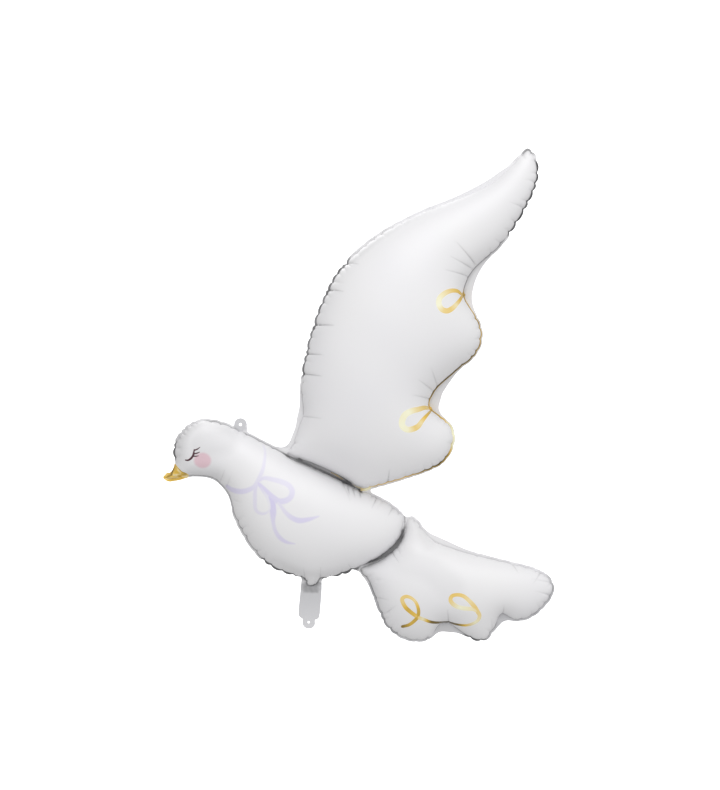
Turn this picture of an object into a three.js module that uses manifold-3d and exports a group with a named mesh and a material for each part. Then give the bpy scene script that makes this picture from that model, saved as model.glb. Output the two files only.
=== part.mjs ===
// Dove foil balloon: two sheets of metallised film welded together round three inflated cells. The
// body with its head and beak is one cell, the raised wing is the second and the tail the third. A
// flat weld flange runs all the way round, with a hang tab at the nape and the filling neck under the
// belly. All of it is one piece of foil, so it is one solid.
//
// Millimetres, +Z up, the front faces -Y. The origin is the centre of the hang tab's hole.

import * as THREE from 'three';
import { mergeVertices } from 'three/addons/utils/BufferGeometryUtils.js';
import Module from 'manifold-3d';

const wasm = await Module();
wasm.setup();

// Driving dimensions
const HEIGHT = 815; // wing tip to the lowest edge of the tail
const FULLNESS = 0.85; // how tightly the cells are blown up: 1 makes a long cell a round tube
const FILM = 0.8; // both sheets together, where they are welded flat
const FLANGE = 4; // weld flange outside a bulging edge
const BAY_SPAN = 110; // the cut edge runs straighter than the weld line over bays of this length
const BAY_SHARE = 0.42; // and leaves this share of a bay's depth as flange
const SEAM = 5.3; // flat weld between two cells
const HANG_HOLE = 4.8; // diameter of the hang tab's hole
const HANG_RIM = 8.2; // foil round that hole
const NECK_WIDTH = 35; // the filling neck, welded sides included
const NECK_LENGTH = 74; // belly to the centre of the neck's hole
const NECK_HOLE = 5; // diameter of that hole
const NECK_RIM = 7.4; // foil round that hole
const NECK_SHOULDER = 9; // length over which the neck rounds in to its tab
const NECK_LEAN = 4.5; // degrees that the neck leans towards the head

// Facets
const EDGE_STEP = 12;
const GRID_STEP = 20;
const RIM_RINGS = [3, 10]; // mesh rings inside the weld line, where the foil is steep
const HOLE_SIDES = 20;
const ROUND_STEPS = 12; // facets of a half circle
const SOLVER_ROUNDS = 500;
const SOLVER_PUSH = 1.85; // over-relaxation of the solver

// Weld lines as [x, z] in thousandths of the height from the hang hole, through which curves are laid.
// They are the shape of the inflated balloon seen from the front.
const WING_EDGE = [
  [94, -58], [103, -46], [121, 1], [128, 25], [124, 66], [127, 104], [135, 147], [160, 230],
  [200, 310], [267, 374], [360, 426], [463, 466], [511, 490], [550, 525], [570, 546], [582, 555],
  [591, 548], [599, 525], [599, 495], [568, 426], [523, 361], [473, 316], [456, 288], [451, 260],
  [479, 211], [487, 181], [476, 145], [434, 109], [391, 68], [381, 36], [419, 4], [431, -22],
  [425, -51], [408, -75], [388, -87], [368, -95], [274, -124],
];
const WING_SEAM = [[244, -132], [201, -108], [145, -83], [102, -66]]; // rump to nape
const NAPE_TO_BELLY = [
  [86, -58], [29, -28], [-11, -8], [-48, 5], [-72, 8], [-95, 3], [-115, -12], [-129, -33],
  [-133, -54], [-131, -72], [-133, -84], [-137, -95], [-146, -102], [-152, -107], [-146, -111],
  [-133, -110], [-114, -106], [-78, -100], [-45, -100], [-22, -118], [-13, -147], [-13, -175],
  [-2, -205], [40, -267], [74, -291], [106, -301],
];
const NECK_ROOT = [[124, -306], [131, -325], [145, -343], [159, -325], [165, -307]];
const BELLY_TO_TAIL = [[206, -300]];
const TAIL_SEAM = [[241, -291], [282, -271], [305, -254], [322, -235], [330, -216], [333, -196]];
const RUMP = [[327, -183], [314, -171], [284, -151], [257, -138]];
const TAIL_EDGE = [
  [341, -187], [347, -187], [356, -195], [388, -233], [439, -254], [511, -273], [586, -291],
  [617, -304], [631, -324], [627, -347], [609, -370], [584, -389], [555, -394], [528, -383],
  [511, -415], [493, -435], [469, -432], [422, -403], [404, -403], [383, -430], [359, -436],
  [327, -429], [299, -408], [283, -376], [261, -318],
];

// The flat web of foil in the corner between the nape and the wing, and where the hang tab is rooted
const WEB = [[52, -35], [78, -46], [92, -45], [103, -25], [114, 3], [122, 23], [140, -10], [120, -80]];
const HANG_ROOT = [6, -40];

const inMillimetres = (points) => points.map(([x, z]) => [(x * HEIGHT) / 1000, (z * HEIGHT) / 1000]);
const distance = (a, b) => Math.hypot(a[0] - b[0], a[1] - b[1]);
const next = (list, i, step = 1) => list[(i + step + list.length) % list.length];

// Plane geometry

function signedArea(outline) {
  return outline.reduce((sum, [x, z], i) => {
    const [nx, nz] = next(outline, i);
    return sum + (x * nz - nx * z) / 2;
  }, 0);
}

function toSegment(point, a, b) {
  const run = [b[0] - a[0], b[1] - a[1]];
  const length = run[0] ** 2 + run[1] ** 2 || 1;
  const share = ((point[0] - a[0]) * run[0] + (point[1] - a[1]) * run[1]) / length;
  const t = Math.min(1, Math.max(0, share));
  return distance(point, [a[0] + t * run[0], a[1] + t * run[1]]);
}

function toOutline(point, outline) {
  return outline.reduce((least, a, i) => Math.min(least, toSegment(point, a, next(outline, i))), Infinity);
}

function inside([x, z], outline) {
  return outline.reduce((odd, [ax, az], i) => {
    const [bx, bz] = next(outline, i);
    const crosses = az > z !== bz > z && x < ((bx - ax) * (z - az)) / (bz - az) + ax;
    return crosses ? !odd : odd;
  }, false);
}

// Outward normal at each point of an outline that runs counterclockwise
function normals(outline) {
  return outline.map((point, i) => {
    const before = next(outline, i, -1);
    const after = next(outline, i);
    const length = distance(before, after) || 1;
    return [(after[1] - before[1]) / length, -(after[0] - before[0]) / length];
  });
}

// A smooth closed line through the given points, counterclockwise, with facets near EDGE_STEP long
function trace(points) {
  const ring = points.map(([x, z]) => new THREE.Vector3(x, 0, z));
  const curve = new THREE.CatmullRomCurve3(ring, true);
  const outline = [];
  points.forEach((point, i) => {
    const steps = Math.max(1, Math.round(distance(point, next(points, i)) / EDGE_STEP));
    for (let k = 0; k < steps; k += 1) {
      const { x, z } = curve.getPoint((i + k / steps) / points.length);
      outline.push([x, z]);
    }
  });
  return signedArea(outline) > 0 ? outline : outline.reverse();
}

// One side of a seam: its centre line moved to the left of its run by the given distance
function seamSide(line, shift) {
  return line.map(([x, z], i) => {
    const before = line[Math.max(0, i - 1)];
    const after = line[Math.min(line.length - 1, i + 1)];
    const length = distance(before, after);
    return [
      x - (shift * (after[1] - before[1])) / length,
      z + (shift * (after[0] - before[0])) / length,
    ];
  });
}

// The point of an outline reached from point i by walking a distance along it, forwards or back
function walk(outline, i, reach, step) {
  let gone = 0;
  let at = i;
  while (gone < reach) {
    gone += distance(outline[(at + outline.length) % outline.length], next(outline, at, step));
    at += step;
  }
  return outline[((at % outline.length) + outline.length) % outline.length];
}

// The cut edge round a weld line: a narrow flange where the edge bulges, a wider one across a bay
function cutEdge(outline) {
  const out = normals(outline);
  return outline.flatMap((point, i) => {
    const before = walk(outline, i, BAY_SPAN / 2, -1);
    const after = walk(outline, i, BAY_SPAN / 2, 1);
    const chord = [(before[0] + after[0]) / 2 - point[0], (before[1] + after[1]) / 2 - point[1]];
    const bay = Math.max(0, chord[0] * out[i][0] + chord[1] * out[i][1]);
    const width = FLANGE + BAY_SHARE * bay;
    const edge = [point[0] + width * out[i][0], point[1] + width * out[i][1]];
    return toOutline(edge, outline) > 0.85 * width ? [edge] : [];
  });
}

// Solids

function solid(geometry) {
  const bare = geometry.index ? geometry.toNonIndexed() : geometry;
  bare.deleteAttribute('normal');
  bare.deleteAttribute('uv');
  const closed = mergeVertices(bare, 1e-3);
  const vertProperties = new Float32Array(closed.attributes.position.array);
  const triVerts = new Uint32Array(closed.index.array);
  return new wasm.Manifold(new wasm.Mesh({ numProp: 3, vertProperties, triVerts }));
}

// Flat foil of the given outline, half of its thickness on each side of the plane of the welds
function sheet(outline) {
  const shape = new THREE.Shape(outline.map(([x, z]) => new THREE.Vector2(x, z)));
  const plate = new THREE.ExtrudeGeometry(shape, { depth: FILM, bevelEnabled: false });
  plate.rotateX(Math.PI / 2);
  plate.translate(0, FILM / 2, 0);
  return solid(plate);
}

// A strip of foil from root to tip. Its end is half an ellipse round the tip, as deep as crown says.
function tongue(root, tip, radius, crown = radius) {
  const length = distance(root, tip);
  const ahead = [(tip[0] - root[0]) / length, (tip[1] - root[1]) / length];
  const at = (from, forward, left) => [
    from[0] + forward * ahead[0] - left * ahead[1],
    from[1] + forward * ahead[1] + left * ahead[0],
  ];
  const outline = [at(root, 0, -radius)];
  for (let i = 0; i <= ROUND_STEPS; i += 1) {
    const turn = (i / ROUND_STEPS - 0.5) * Math.PI;
    outline.push(at(tip, crown * Math.cos(turn), radius * Math.sin(turn)));
  }
  outline.push(at(root, 0, radius));
  return sheet(outline);
}

function hole([x, z], diameter) {
  const cutter = new THREE.CylinderGeometry(diameter / 2, diameter / 2, 4 * FILM, HOLE_SIDES);
  cutter.translate(x, 0, z);
  return solid(cutter);
}

// Points to mesh a cell with: the weld line, rings close inside it, and an even grid in the middle
function meshPoints(outline) {
  const points = [...outline];
  const out = normals(outline);
  RIM_RINGS.forEach((depth, ring) => {
    outline.forEach((a, i) => {
      const b = next(outline, i);
      const share = ring % 2 ? 0 : 0.5;
      const point = [0, 1].map((axis) => a[axis] + share * (b[axis] - a[axis]) - depth * out[i][axis]);
      const clear = points.slice(outline.length).every((other) => distance(other, point) > 0.5 * EDGE_STEP);
      if (clear && inside(point, outline) && toOutline(point, outline) > 0.8 * depth) points.push(point);
    });
  });
  const ringed = points.length;
  const xs = outline.map(([x]) => x);
  const zs = outline.map(([, z]) => z);
  const row = (GRID_STEP * Math.sqrt(3)) / 2;
  for (let z = Math.min(...zs), j = 0; z < Math.max(...zs); z += row, j += 1) {
    for (let x = Math.min(...xs) + (j % 2) * (GRID_STEP / 2); x < Math.max(...xs); x += GRID_STEP) {
      const point = [x, z];
      const clear = points.slice(0, ringed).every((other) => distance(other, point) > 0.6 * GRID_STEP);
      if (clear && inside(point, outline)) points.push(point);
    }
  }
  return points;
}

// Delaunay triangles over the points, added one by one, less those outside the outline and those
// with all three corners on it, which have no thickness
function triangulate(points, outline) {
  const far = 1e5;
  const all = [...points, [-far, -far], [far, -far], [0, far]];
  const n = points.length;
  const circled = (corners) => {
    const [a, b, c] = corners.map((corner) => all[corner]);
    const d = 2 * (a[0] * (b[1] - c[1]) + b[0] * (c[1] - a[1]) + c[0] * (a[1] - b[1]));
    const [aa, bb, cc] = [a, b, c].map(([x, z]) => x * x + z * z);
    const centre = [
      (aa * (b[1] - c[1]) + bb * (c[1] - a[1]) + cc * (a[1] - b[1])) / d,
      (aa * (c[0] - b[0]) + bb * (a[0] - c[0]) + cc * (b[0] - a[0])) / d,
    ];
    return { corners, centre, radius: distance(centre, a) };
  };
  let triangles = [circled([n, n + 1, n + 2])];
  points.forEach((point, i) => {
    const hit = triangles.filter(({ centre, radius }) => distance(centre, point) < radius);
    const edges = hit.flatMap(({ corners: [a, b, c] }) => [[a, b], [b, c], [c, a]]);
    const shared = new Set(edges.map(([a, b]) => `${b},${a}`));
    const rim = edges.filter(([a, b]) => !shared.has(`${a},${b}`));
    triangles = triangles.filter((triangle) => !hit.includes(triangle));
    triangles.push(...rim.map(([a, b]) => circled([a, b, i])));
  });
  const middle = (corners) => [0, 1].map((axis) => corners.reduce((sum, c) => sum + all[c][axis] / 3, 0));
  return triangles
    .map(({ corners }) => corners)
    .filter((corners) => corners.every((corner) => corner < n) && inside(middle(corners), outline))
    .filter((corners) => corners.some((corner) => corner >= outline.length));
}

// Half thickness of a blown-up cell. The load function u solves -laplace(u) = 1 with u = 0 on the weld
// line, and FULLNESS * sqrt(2 u) is a round section in a long cell and a flatter one in a disc.
function inflate(points, triangles, rimCount) {
  const weights = points.map(() => new Map());
  const load = new Float64Array(points.length);
  triangles.forEach((corners) => {
    const [a, b, c] = corners.map((corner) => points[corner]);
    const twiceArea = (b[0] - a[0]) * (c[1] - a[1]) - (c[0] - a[0]) * (b[1] - a[1]);
    corners.forEach((corner, k) => {
      const [i, j] = [corners[(k + 1) % 3], corners[(k + 2) % 3]];
      const p = [points[i][0] - points[corner][0], points[i][1] - points[corner][1]];
      const q = [points[j][0] - points[corner][0], points[j][1] - points[corner][1]];
      const cotangent = (p[0] * q[0] + p[1] * q[1]) / twiceArea / 2;
      weights[i].set(j, (weights[i].get(j) ?? 0) + cotangent);
      weights[j].set(i, (weights[j].get(i) ?? 0) + cotangent);
      load[corner] += twiceArea / 6;
    });
  });
  const u = new Float64Array(points.length);
  for (let round = 0; round < SOLVER_ROUNDS; round += 1) {
    for (let i = rimCount; i < points.length; i += 1) {
      let sum = load[i];
      let total = 0;
      weights[i].forEach((weight, j) => {
        sum += weight * u[j];
        total += weight;
      });
      u[i] += SOLVER_PUSH * (sum / total - u[i]);
    }
  }
  return Array.from(u, (value) => FULLNESS * Math.sqrt(2 * Math.max(0, value)));
}

// One inflated cell: the same bulge in the front sheet and the back sheet, closed on the weld line
function cell(outline) {
  const points = meshPoints(outline);
  const triangles = triangulate(points, outline);
  const half = inflate(points, triangles, outline.length);
  const corner = (i, side) => [points[i][0], side * half[i], points[i][1]];
  const positions = triangles.flatMap(([a, b, c]) => [
    ...[a, b, c].flatMap((i) => corner(i, -1)),
    ...[a, c, b].flatMap((i) => corner(i, 1)),
  ]);
  const geometry = new THREE.BufferGeometry();
  geometry.setAttribute('position', new THREE.Float32BufferAttribute(positions, 3));
  return solid(geometry);
}

// The balloon

const wingSeam = inMillimetres(WING_SEAM);
const tailSeam = inMillimetres(TAIL_SEAM);
const reversed = (line) => [...line].reverse();

const wing = trace([...inMillimetres(WING_EDGE), ...seamSide(wingSeam, -SEAM / 2)]);
const body = trace([
  ...inMillimetres([...NAPE_TO_BELLY, ...NECK_ROOT, ...BELLY_TO_TAIL]),
  ...seamSide(tailSeam, SEAM / 2),
  ...inMillimetres(RUMP),
  ...seamSide(wingSeam, SEAM / 2),
]);
const tail = trace([...inMillimetres(TAIL_EDGE), ...seamSide(tailSeam, -SEAM / 2)]);

// The flat weld between two cells, laid a little under both
function seamStrip(line) {
  const half = SEAM / 2 + FLANGE / 2;
  return sheet([...seamSide(line, half), ...reversed(seamSide(line, -half))]);
}

// The filling neck hangs from the belly and narrows to a tab with a hole
function neck() {
  const root = inMillimetres([NECK_ROOT[0], NECK_ROOT[4]]);
  const top = [(root[0][0] + root[1][0]) / 2, (root[0][1] + root[1][1]) / 2];
  const lean = THREE.MathUtils.degToRad(NECK_LEAN);
  const down = (length) => [top[0] - length * Math.sin(lean), top[1] - length * Math.cos(lean)];
  const radius = NECK_HOLE / 2 + NECK_RIM;
  const eye = down(NECK_LENGTH);
  const shoulder = down(NECK_LENGTH - NECK_HOLE / 2 - NECK_SHOULDER);
  const strip = tongue(down(-NECK_WIDTH / 2), shoulder, NECK_WIDTH / 2, NECK_SHOULDER);
  return strip.add(tongue(top, eye, radius)).subtract(hole(eye, NECK_HOLE));
}

function hangTab() {
  const [root] = inMillimetres([HANG_ROOT]);
  return tongue(root, [0, 0], HANG_HOLE / 2 + HANG_RIM);
}

const foil = [wing, body, tail]
  .flatMap((outline) => [cell(outline), sheet(cutEdge(outline))])
  .concat([seamStrip(wingSeam), seamStrip(tailSeam), sheet(inMillimetres(WEB)), hangTab(), neck()])
  .reduce((whole, piece) => whole.add(piece))
  .subtract(hole([0, 0], HANG_HOLE));

const { vertProperties, triVerts } = foil.getMesh();
const geometry = new THREE.BufferGeometry();
geometry.setAttribute('position', new THREE.BufferAttribute(vertProperties, 3));
geometry.setIndex(new THREE.BufferAttribute(triVerts, 1));
geometry.computeVertexNormals();

const satinFoil = new THREE.MeshStandardMaterial({ color: 0xe9e8ec, roughness: 0.3, metalness: 0.35 });
const envelope = new THREE.Mesh(geometry, satinFoil);
envelope.name = 'foil_envelope';

const balloon = new THREE.Group();
balloon.add(envelope);

export default balloon;
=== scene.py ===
"""Dove foil balloon: the blown-up foil with its crimped welds, its prints and a small photo studio."""

import math
import random

import bpy
import numpy as np
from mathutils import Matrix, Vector
from mathutils.geometry import delaunay_2d_cdt


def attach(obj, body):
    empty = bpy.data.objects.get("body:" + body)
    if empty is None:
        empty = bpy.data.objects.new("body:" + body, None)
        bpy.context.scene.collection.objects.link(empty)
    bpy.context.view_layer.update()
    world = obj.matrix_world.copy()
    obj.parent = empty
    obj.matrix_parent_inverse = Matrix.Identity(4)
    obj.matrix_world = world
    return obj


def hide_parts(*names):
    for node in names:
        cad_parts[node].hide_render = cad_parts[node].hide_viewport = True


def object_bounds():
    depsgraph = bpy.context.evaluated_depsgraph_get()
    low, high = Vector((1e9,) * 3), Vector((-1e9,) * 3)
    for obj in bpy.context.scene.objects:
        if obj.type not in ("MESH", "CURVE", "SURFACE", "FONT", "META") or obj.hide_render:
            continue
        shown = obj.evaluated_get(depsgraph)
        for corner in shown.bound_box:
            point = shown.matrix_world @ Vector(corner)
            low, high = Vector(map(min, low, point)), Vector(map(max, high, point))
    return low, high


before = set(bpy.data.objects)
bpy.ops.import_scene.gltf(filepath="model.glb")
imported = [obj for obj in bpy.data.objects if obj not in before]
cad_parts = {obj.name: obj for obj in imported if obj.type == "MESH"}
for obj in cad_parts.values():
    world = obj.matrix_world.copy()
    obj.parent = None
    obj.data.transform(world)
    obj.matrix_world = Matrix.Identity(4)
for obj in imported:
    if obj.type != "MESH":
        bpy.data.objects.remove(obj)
CAD_BOX = [list(corner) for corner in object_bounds()]
NODE = "foil_envelope"

# The balloon's height, the thickness of the welded film and the width of the welds between two cells, in
# millimetres, and how full it is blown. The plane of the welds is y = 0.
HEIGHT = 815
FILM = 0.3
SEAM = 5.3
FULLNESS = 0.85

# The photograph's scale: the pixel of the hang tab's hole, which is the frame's origin
HOLE_PIXEL = (240.5, 424.5)
MM_PER_PIXEL = 1.6495

# Weld lines in thousandths of the height from the hang hole
WING_EDGE = [
    (94, -58), (103, -46), (121, 1), (128, 25), (124, 66), (127, 104), (135, 147), (160, 230),
    (200, 310), (267, 374), (360, 426), (463, 466), (511, 490), (550, 525), (570, 546), (582, 555),
    (591, 548), (599, 525), (599, 495), (568, 426), (523, 361), (473, 316), (456, 288), (451, 260),
    (479, 211), (487, 181), (476, 145), (434, 109), (391, 68), (381, 36), (419, 4), (431, -22),
    (425, -51), (408, -75), (388, -87), (368, -95), (274, -124),
]
WING_SEAM = [(244, -132), (201, -108), (145, -83), (102, -66)]
NAPE_TO_BELLY = [
    (86, -58), (29, -28), (-11, -8), (-48, 5), (-72, 8), (-95, 3), (-115, -12), (-129, -33),
    (-133, -54), (-131, -72), (-133, -84), (-137, -95), (-146, -102), (-152, -107), (-146, -111),
    (-133, -110), (-114, -104), (-92, -102.5), (-68, -104), (-54, -108), (-41.5, -117.5),
    (-31.5, -128.5), (-23, -140), (-17, -159), (-13.5, -175), (-2, -205), (40, -267), (74, -291),
    (103, -302), (116, -307.5),
]
NECK_ROOT = [
    (125.5, -309.5), (130.5, -316.8), (134.6, -324), (140.7, -326.1), (150.8, -325.7),
    (156.9, -321.8), (159.9, -315.7), (164, -309.7), (180, -309),
]
BELLY_TO_TAIL = [(206, -300)]
TAIL_SEAM = [(241, -291), (282, -271), (305, -254), (322, -235), (330, -216), (333, -196)]
RUMP = [(327, -183), (314, -171), (284, -151), (257, -138)]
TAIL_EDGE = [
    (341, -187), (347, -187), (356, -195), (388, -233), (439, -254), (511, -273), (586, -291),
    (617, -304), (631, -324), (627, -347), (609, -370), (584, -389), (555, -394), (528, -383),
    (511, -415), (493, -435), (469, -432), (422, -403), (404, -403), (383, -430), (359, -436),
    (327, -429), (299, -408), (283, -376), (261, -318),
]

# Mesh spacing
CURVE_PIECES = 24
EDGE_STEP = 2.1
GRID_STEP = 4.2
BEAK_STEP = 1.1
PRINT_STEP = 1.2
BESIDE_PRINT = 0.9
RIM_RINGS = [0.5, 1.4, 2.8, 4.8, 7.4, 10.6]
FLANGE_ROWS = [0.7, 2.2]
SOLVER_ROUNDS = 1500


def share(points):
    return np.array(points, float) * HEIGHT / 1000


def pixels(points):
    p = np.array(points, float)
    return np.column_stack([p[:, 0] - HOLE_PIXEL[0], HOLE_PIXEL[1] - p[:, 1]]) * MM_PER_PIXEL


def pixel(x, y):
    return pixels([(x, y)])[0]


def unit(x):
    return np.clip(x, 0, 1)


def smooth(points, step, closed=True):
    """Centripetal Catmull-Rom through the points, resampled evenly."""
    points = np.asarray(points, float)
    if closed:
        ring = np.vstack([points[-1], points, points[0], points[1]])
    else:
        ring = np.vstack([2 * points[0] - points[1], points, 2 * points[-1] - points[-2]])
    fine = []
    for corners in zip(ring, ring[1:], ring[2:], ring[3:]):
        gaps = [max(np.linalg.norm(b - a), 1e-6) ** 0.5 for a, b in zip(corners, corners[1:])]
        knots = [0, *np.cumsum(gaps)]
        t = np.linspace(knots[1], knots[2], CURVE_PIECES, endpoint=False)[:, None]
        rows = corners
        for spans in ((0, 1), (1, 2), (2, 3)), ((0, 2), (1, 3)), ((1, 2),):
            rows = [
                (knots[j] - t) / (knots[j] - knots[i]) * a + (t - knots[i]) / (knots[j] - knots[i]) * b
                for (i, j), a, b in zip(spans, rows, rows[1:])
            ]
        fine.append(rows[0])
    fine = np.vstack(fine + [points[:1] if closed else points[-1:]])
    run = np.concatenate([[0], np.cumsum(np.linalg.norm(np.diff(fine, axis=0), axis=1))])
    count = max(2, round(run[-1] / step))
    at = np.linspace(0, run[-1], count + 1)
    out = np.column_stack([np.interp(at, run, fine[:, k]) for k in (0, 1)])
    return out[:-1] if closed else out


def area(loop):
    x, z = loop.T
    return 0.5 * np.sum(x * np.roll(z, -1) - np.roll(x, -1) * z)


def inside(points, loop):
    x, z = points.T
    odd = np.zeros(len(points), bool)
    for (ax, az), (bx, bz) in zip(loop, np.roll(loop, -1, axis=0)):
        if az != bz:
            odd ^= ((az > z) != (bz > z)) & (x < (bx - ax) * (z - az) / (bz - az) + ax)
    return odd


def nearest(points, line, closed=True):
    """Distance to a line of points and how far along it the nearest place lies."""
    a = line if closed else line[:-1]
    b = np.roll(line, -1, axis=0) if closed else line[1:]
    run = b - a
    length = np.linalg.norm(run, axis=1)
    start = np.concatenate([[0], np.cumsum(length)[:-1]])
    best = np.full(len(points), np.inf)
    place = np.zeros(len(points))
    for low in range(0, len(points), 4000):
        part = points[low:low + 4000, None, :] - a[None]
        t = unit((part * run).sum(2) / (length ** 2))
        gap = np.linalg.norm(part - t[..., None] * run, axis=2)
        k = gap.argmin(1)
        rows = np.arange(len(k))
        best[low:low + 4000] = gap[rows, k]
        place[low:low + 4000] = start[k] + t[rows, k] * length[k]
    return best, place


def left_of(run):
    """Unit vectors to the left of some others."""
    run = run / np.linalg.norm(run, axis=1)[:, None]
    return np.column_stack([-run[:, 1], run[:, 0]])


def seam_side(line, shift):
    line = share(line)
    ends = np.vstack([line[:1], line, line[-1:]])
    return line + shift * left_of(ends[2:] - ends[:-2])


def closed_line(points):
    """The smooth closed line through the points, run against the clock."""
    loop = smooth(points, EDGE_STEP)
    return loop if area(loop) > 0 else loop[::-1]


CELLS = {
    "wing": closed_line(np.vstack([share(WING_EDGE), seam_side(WING_SEAM, -SEAM / 2)])),
    "body": closed_line(np.vstack([
        share(NAPE_TO_BELLY + NECK_ROOT + BELLY_TO_TAIL),
        seam_side(TAIL_SEAM, SEAM / 2),
        share(RUMP),
        seam_side(WING_SEAM, SEAM / 2),
    ])),
    "tail": closed_line(np.vstack([share(TAIL_EDGE), seam_side(TAIL_SEAM, -SEAM / 2)])),
}


def cut_edges():
    """The foil's cut edge and the edges of its two holes, read from the flat walls of the solid."""
    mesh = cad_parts[NODE].data
    place = {v.index: tuple(round(c * 1000, 2) for c in v.co) for v in mesh.vertices}
    ahead = {}
    for face in mesh.polygons:
        corners = [place[v] for v in face.vertices]
        if abs(face.normal.y) > 0.02 or max(abs(c[1]) for c in corners) > 0.42:
            continue
        for a, b in zip(corners, corners[1:] + corners[:1]):
            if a[1] > 0 and b[1] > 0 and a != b:
                ahead[(a[0], a[2])] = (b[0], b[2])
    loops = []
    while ahead:
        first = next(iter(ahead))
        loop = [first]
        at = ahead.pop(first)
        while at in ahead and at != first:
            loop.append(at)
            at = ahead.pop(at)
        loops.append(np.array(loop))
    return sorted((loop for loop in loops if len(loop) > 5), key=lambda loop: -abs(area(loop)))


def thin_out(loop, gap):
    kept = [loop[0]]
    for point in loop[1:]:
        if np.linalg.norm(point - kept[-1]) > gap:
            kept.append(point)
    return np.array(kept)


# Boxes in which the flange beside the body is narrowed to a width in millimetres
TRIMS = [
    ([(186, 500), (232, 470)], 2.6), ([(322.6, 585), (338, 571)], 1.8),
    ([(168.5, 474), (175, 459.5)], 1.9),
]
# Where the cut edge keeps its corners: the neck, the hang tab, the beak and the wing's tip
NECK_BOX = [(292, 640), (330, 572)]
HANG_TAB_ROUND = 24
BEAK_ROOT = -105
TIP_FOOT = 425
ROUNDING = 4
# The neck's right side, the heights between which it grows longer, and its left and right ends
NECK_SIDE = [(322.3, 579.2), (321.3, 597), (320, 612.5)]
NECK_MIDDLE = pixel(312, 0)[0]
NECK_END = [(308, 606), (308, 626)]
NECK_ENDS = [(303.2, 0), (324, 0)]
NECK_EXTRA = 3.3
NECK_WIDER = 0.1
HOLE_SCALE = 0.68


def trimmed(loop):
    """The cut edge, brought closer to the chin, the beak and the neck than the solid has it."""
    loop = loop.copy()
    for corners, flange in TRIMS:
        low, high = pixels(corners)
        gap, place = nearest(loop, CELLS["body"])
        line = CELLS["body"][(place / EDGE_STEP).round().astype(int) % len(CELLS["body"])]
        here = ((loop > low) & (loop < high)).all(1) & (gap > flange)
        loop[here] = (line + (loop - line) * (flange / gap)[:, None])[here]
    neck = pixels(NECK_SIDE)
    side = np.interp(-loop[:, 1], -neck[:, 1], neck[:, 0])
    at_neck = (loop[:, 1] < neck[0, 1]) & (loop[:, 1] > neck[-1, 1])
    at_neck &= (loop[:, 0] > NECK_MIDDLE) & (loop[:, 0] < side + 14)
    loop[at_neck, 0] = side[at_neck]
    return loop


def lengthened(loop, scale=1.0):
    """The neck's end with its small tab, a little longer and wider than the solid has it."""
    top, bottom = pixels(NECK_END)[:, 1]
    left, right = pixels(NECK_ENDS)[:, 0]
    on_neck = (loop[:, 0] > left - 8) & (loop[:, 0] < right)
    low = unit((top - loop[:, 1]) / (top - bottom)) * on_neck
    wider = NECK_WIDER * (loop[:, 0] - left) * unit(2 * low - 0.8)
    moved = loop + np.column_stack([wider, -NECK_EXTRA * low])
    middle = moved.mean(0)
    return middle + scale * (moved - middle)


def rounded(loop):
    """The cut edge without its small corners, which stay at the hang tab and at the neck."""
    total = sum(np.roll(loop, k, axis=0) for k in range(-ROUNDING, ROUNDING + 1)) / (2 * ROUNDING + 1)
    low, high = pixels(NECK_BOX)
    kept = ((loop > low) & (loop < high)).all(1) | (np.linalg.norm(loop, axis=1) < HANG_TAB_ROUND)
    kept |= (loop[:, 0] < BEAK_ROOT + 10) | (loop[:, 1] > TIP_FOOT)
    return np.where(kept[:, None], loop, total)


loops = cut_edges()
OUTER = closed_line(thin_out(loops[0], 1.2))
OUTER = closed_line(lengthened(rounded(trimmed(OUTER))))
HOLES = [smooth(thin_out(loop, 0.3), 0.75) for loop in loops[1:3]]
HOLES = [lengthened(loop, HOLE_SCALE if loop[0, 1] < -100 else 1.0) for loop in HOLES]


def outward(loop):
    return -left_of(np.roll(loop, -1, axis=0) - np.roll(loop, 1, axis=0))


def bulge(loop, reach):
    """How far each point of a loop stands out of the chord over it: above 0 where the edge bulges."""
    n = max(1, round(reach / EDGE_STEP))
    chord = (np.roll(loop, n, axis=0) + np.roll(loop, -n, axis=0)) / 2
    return ((loop - chord) * outward(loop)).sum(1)


# Creases. Each one is a valley that starts at a weld and runs inwards over the bulging foil. It has a
# cusp across, so that the foil between two of them stands up in a rounded bump.

FOLD_LINE = 0.7
CRIMP_DEPTH = 2.4
BULGE_REACH = 34
FLANGE = 4
SMALL_CREASE = 14


def crease(start, heading, length, depth, width, bend=0.0, line=0.0, at_weld=True):
    heading = np.asarray(heading, float) / np.linalg.norm(heading)
    return np.asarray(start, float), heading, length, depth, width, bend, line, at_weld


def read_creases(creases, points):
    """Depth of the creases at the points, and how dark the painted shade along their fold lines is."""
    total = np.zeros(len(points))
    dark = np.zeros(len(points))
    for start, heading, length, depth, width, bend, line, at_weld in creases:
        rel = points - start
        near = (np.abs(rel) < length + 8 * width).all(1)
        along = rel[near] @ heading
        across = rel[near] @ np.array([-heading[1], heading[0]])
        t = along / length
        across = np.abs(across - bend * unit(t) ** 2)
        narrowed = width * (1 - 0.62 * unit(t))
        fade = unit(1 - t) ** 1.35
        if not at_weld:
            fade = fade * unit(0.5 + 4 * t)
        outside = unit(1 + along / 9)
        sharp = np.exp(-across / FOLD_LINE)
        valley = np.exp(-across / narrowed) + 0.25 * sharp
        total[near] += depth * fade * valley * np.where(t < 0, outside, 1)
        # Painted shade along the fold line of the crease
        dark[near] = np.maximum(dark[near], line * sharp * unit(1.15 - t) ** 0.7 * (t > -0.08))
    return total, dark


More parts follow.
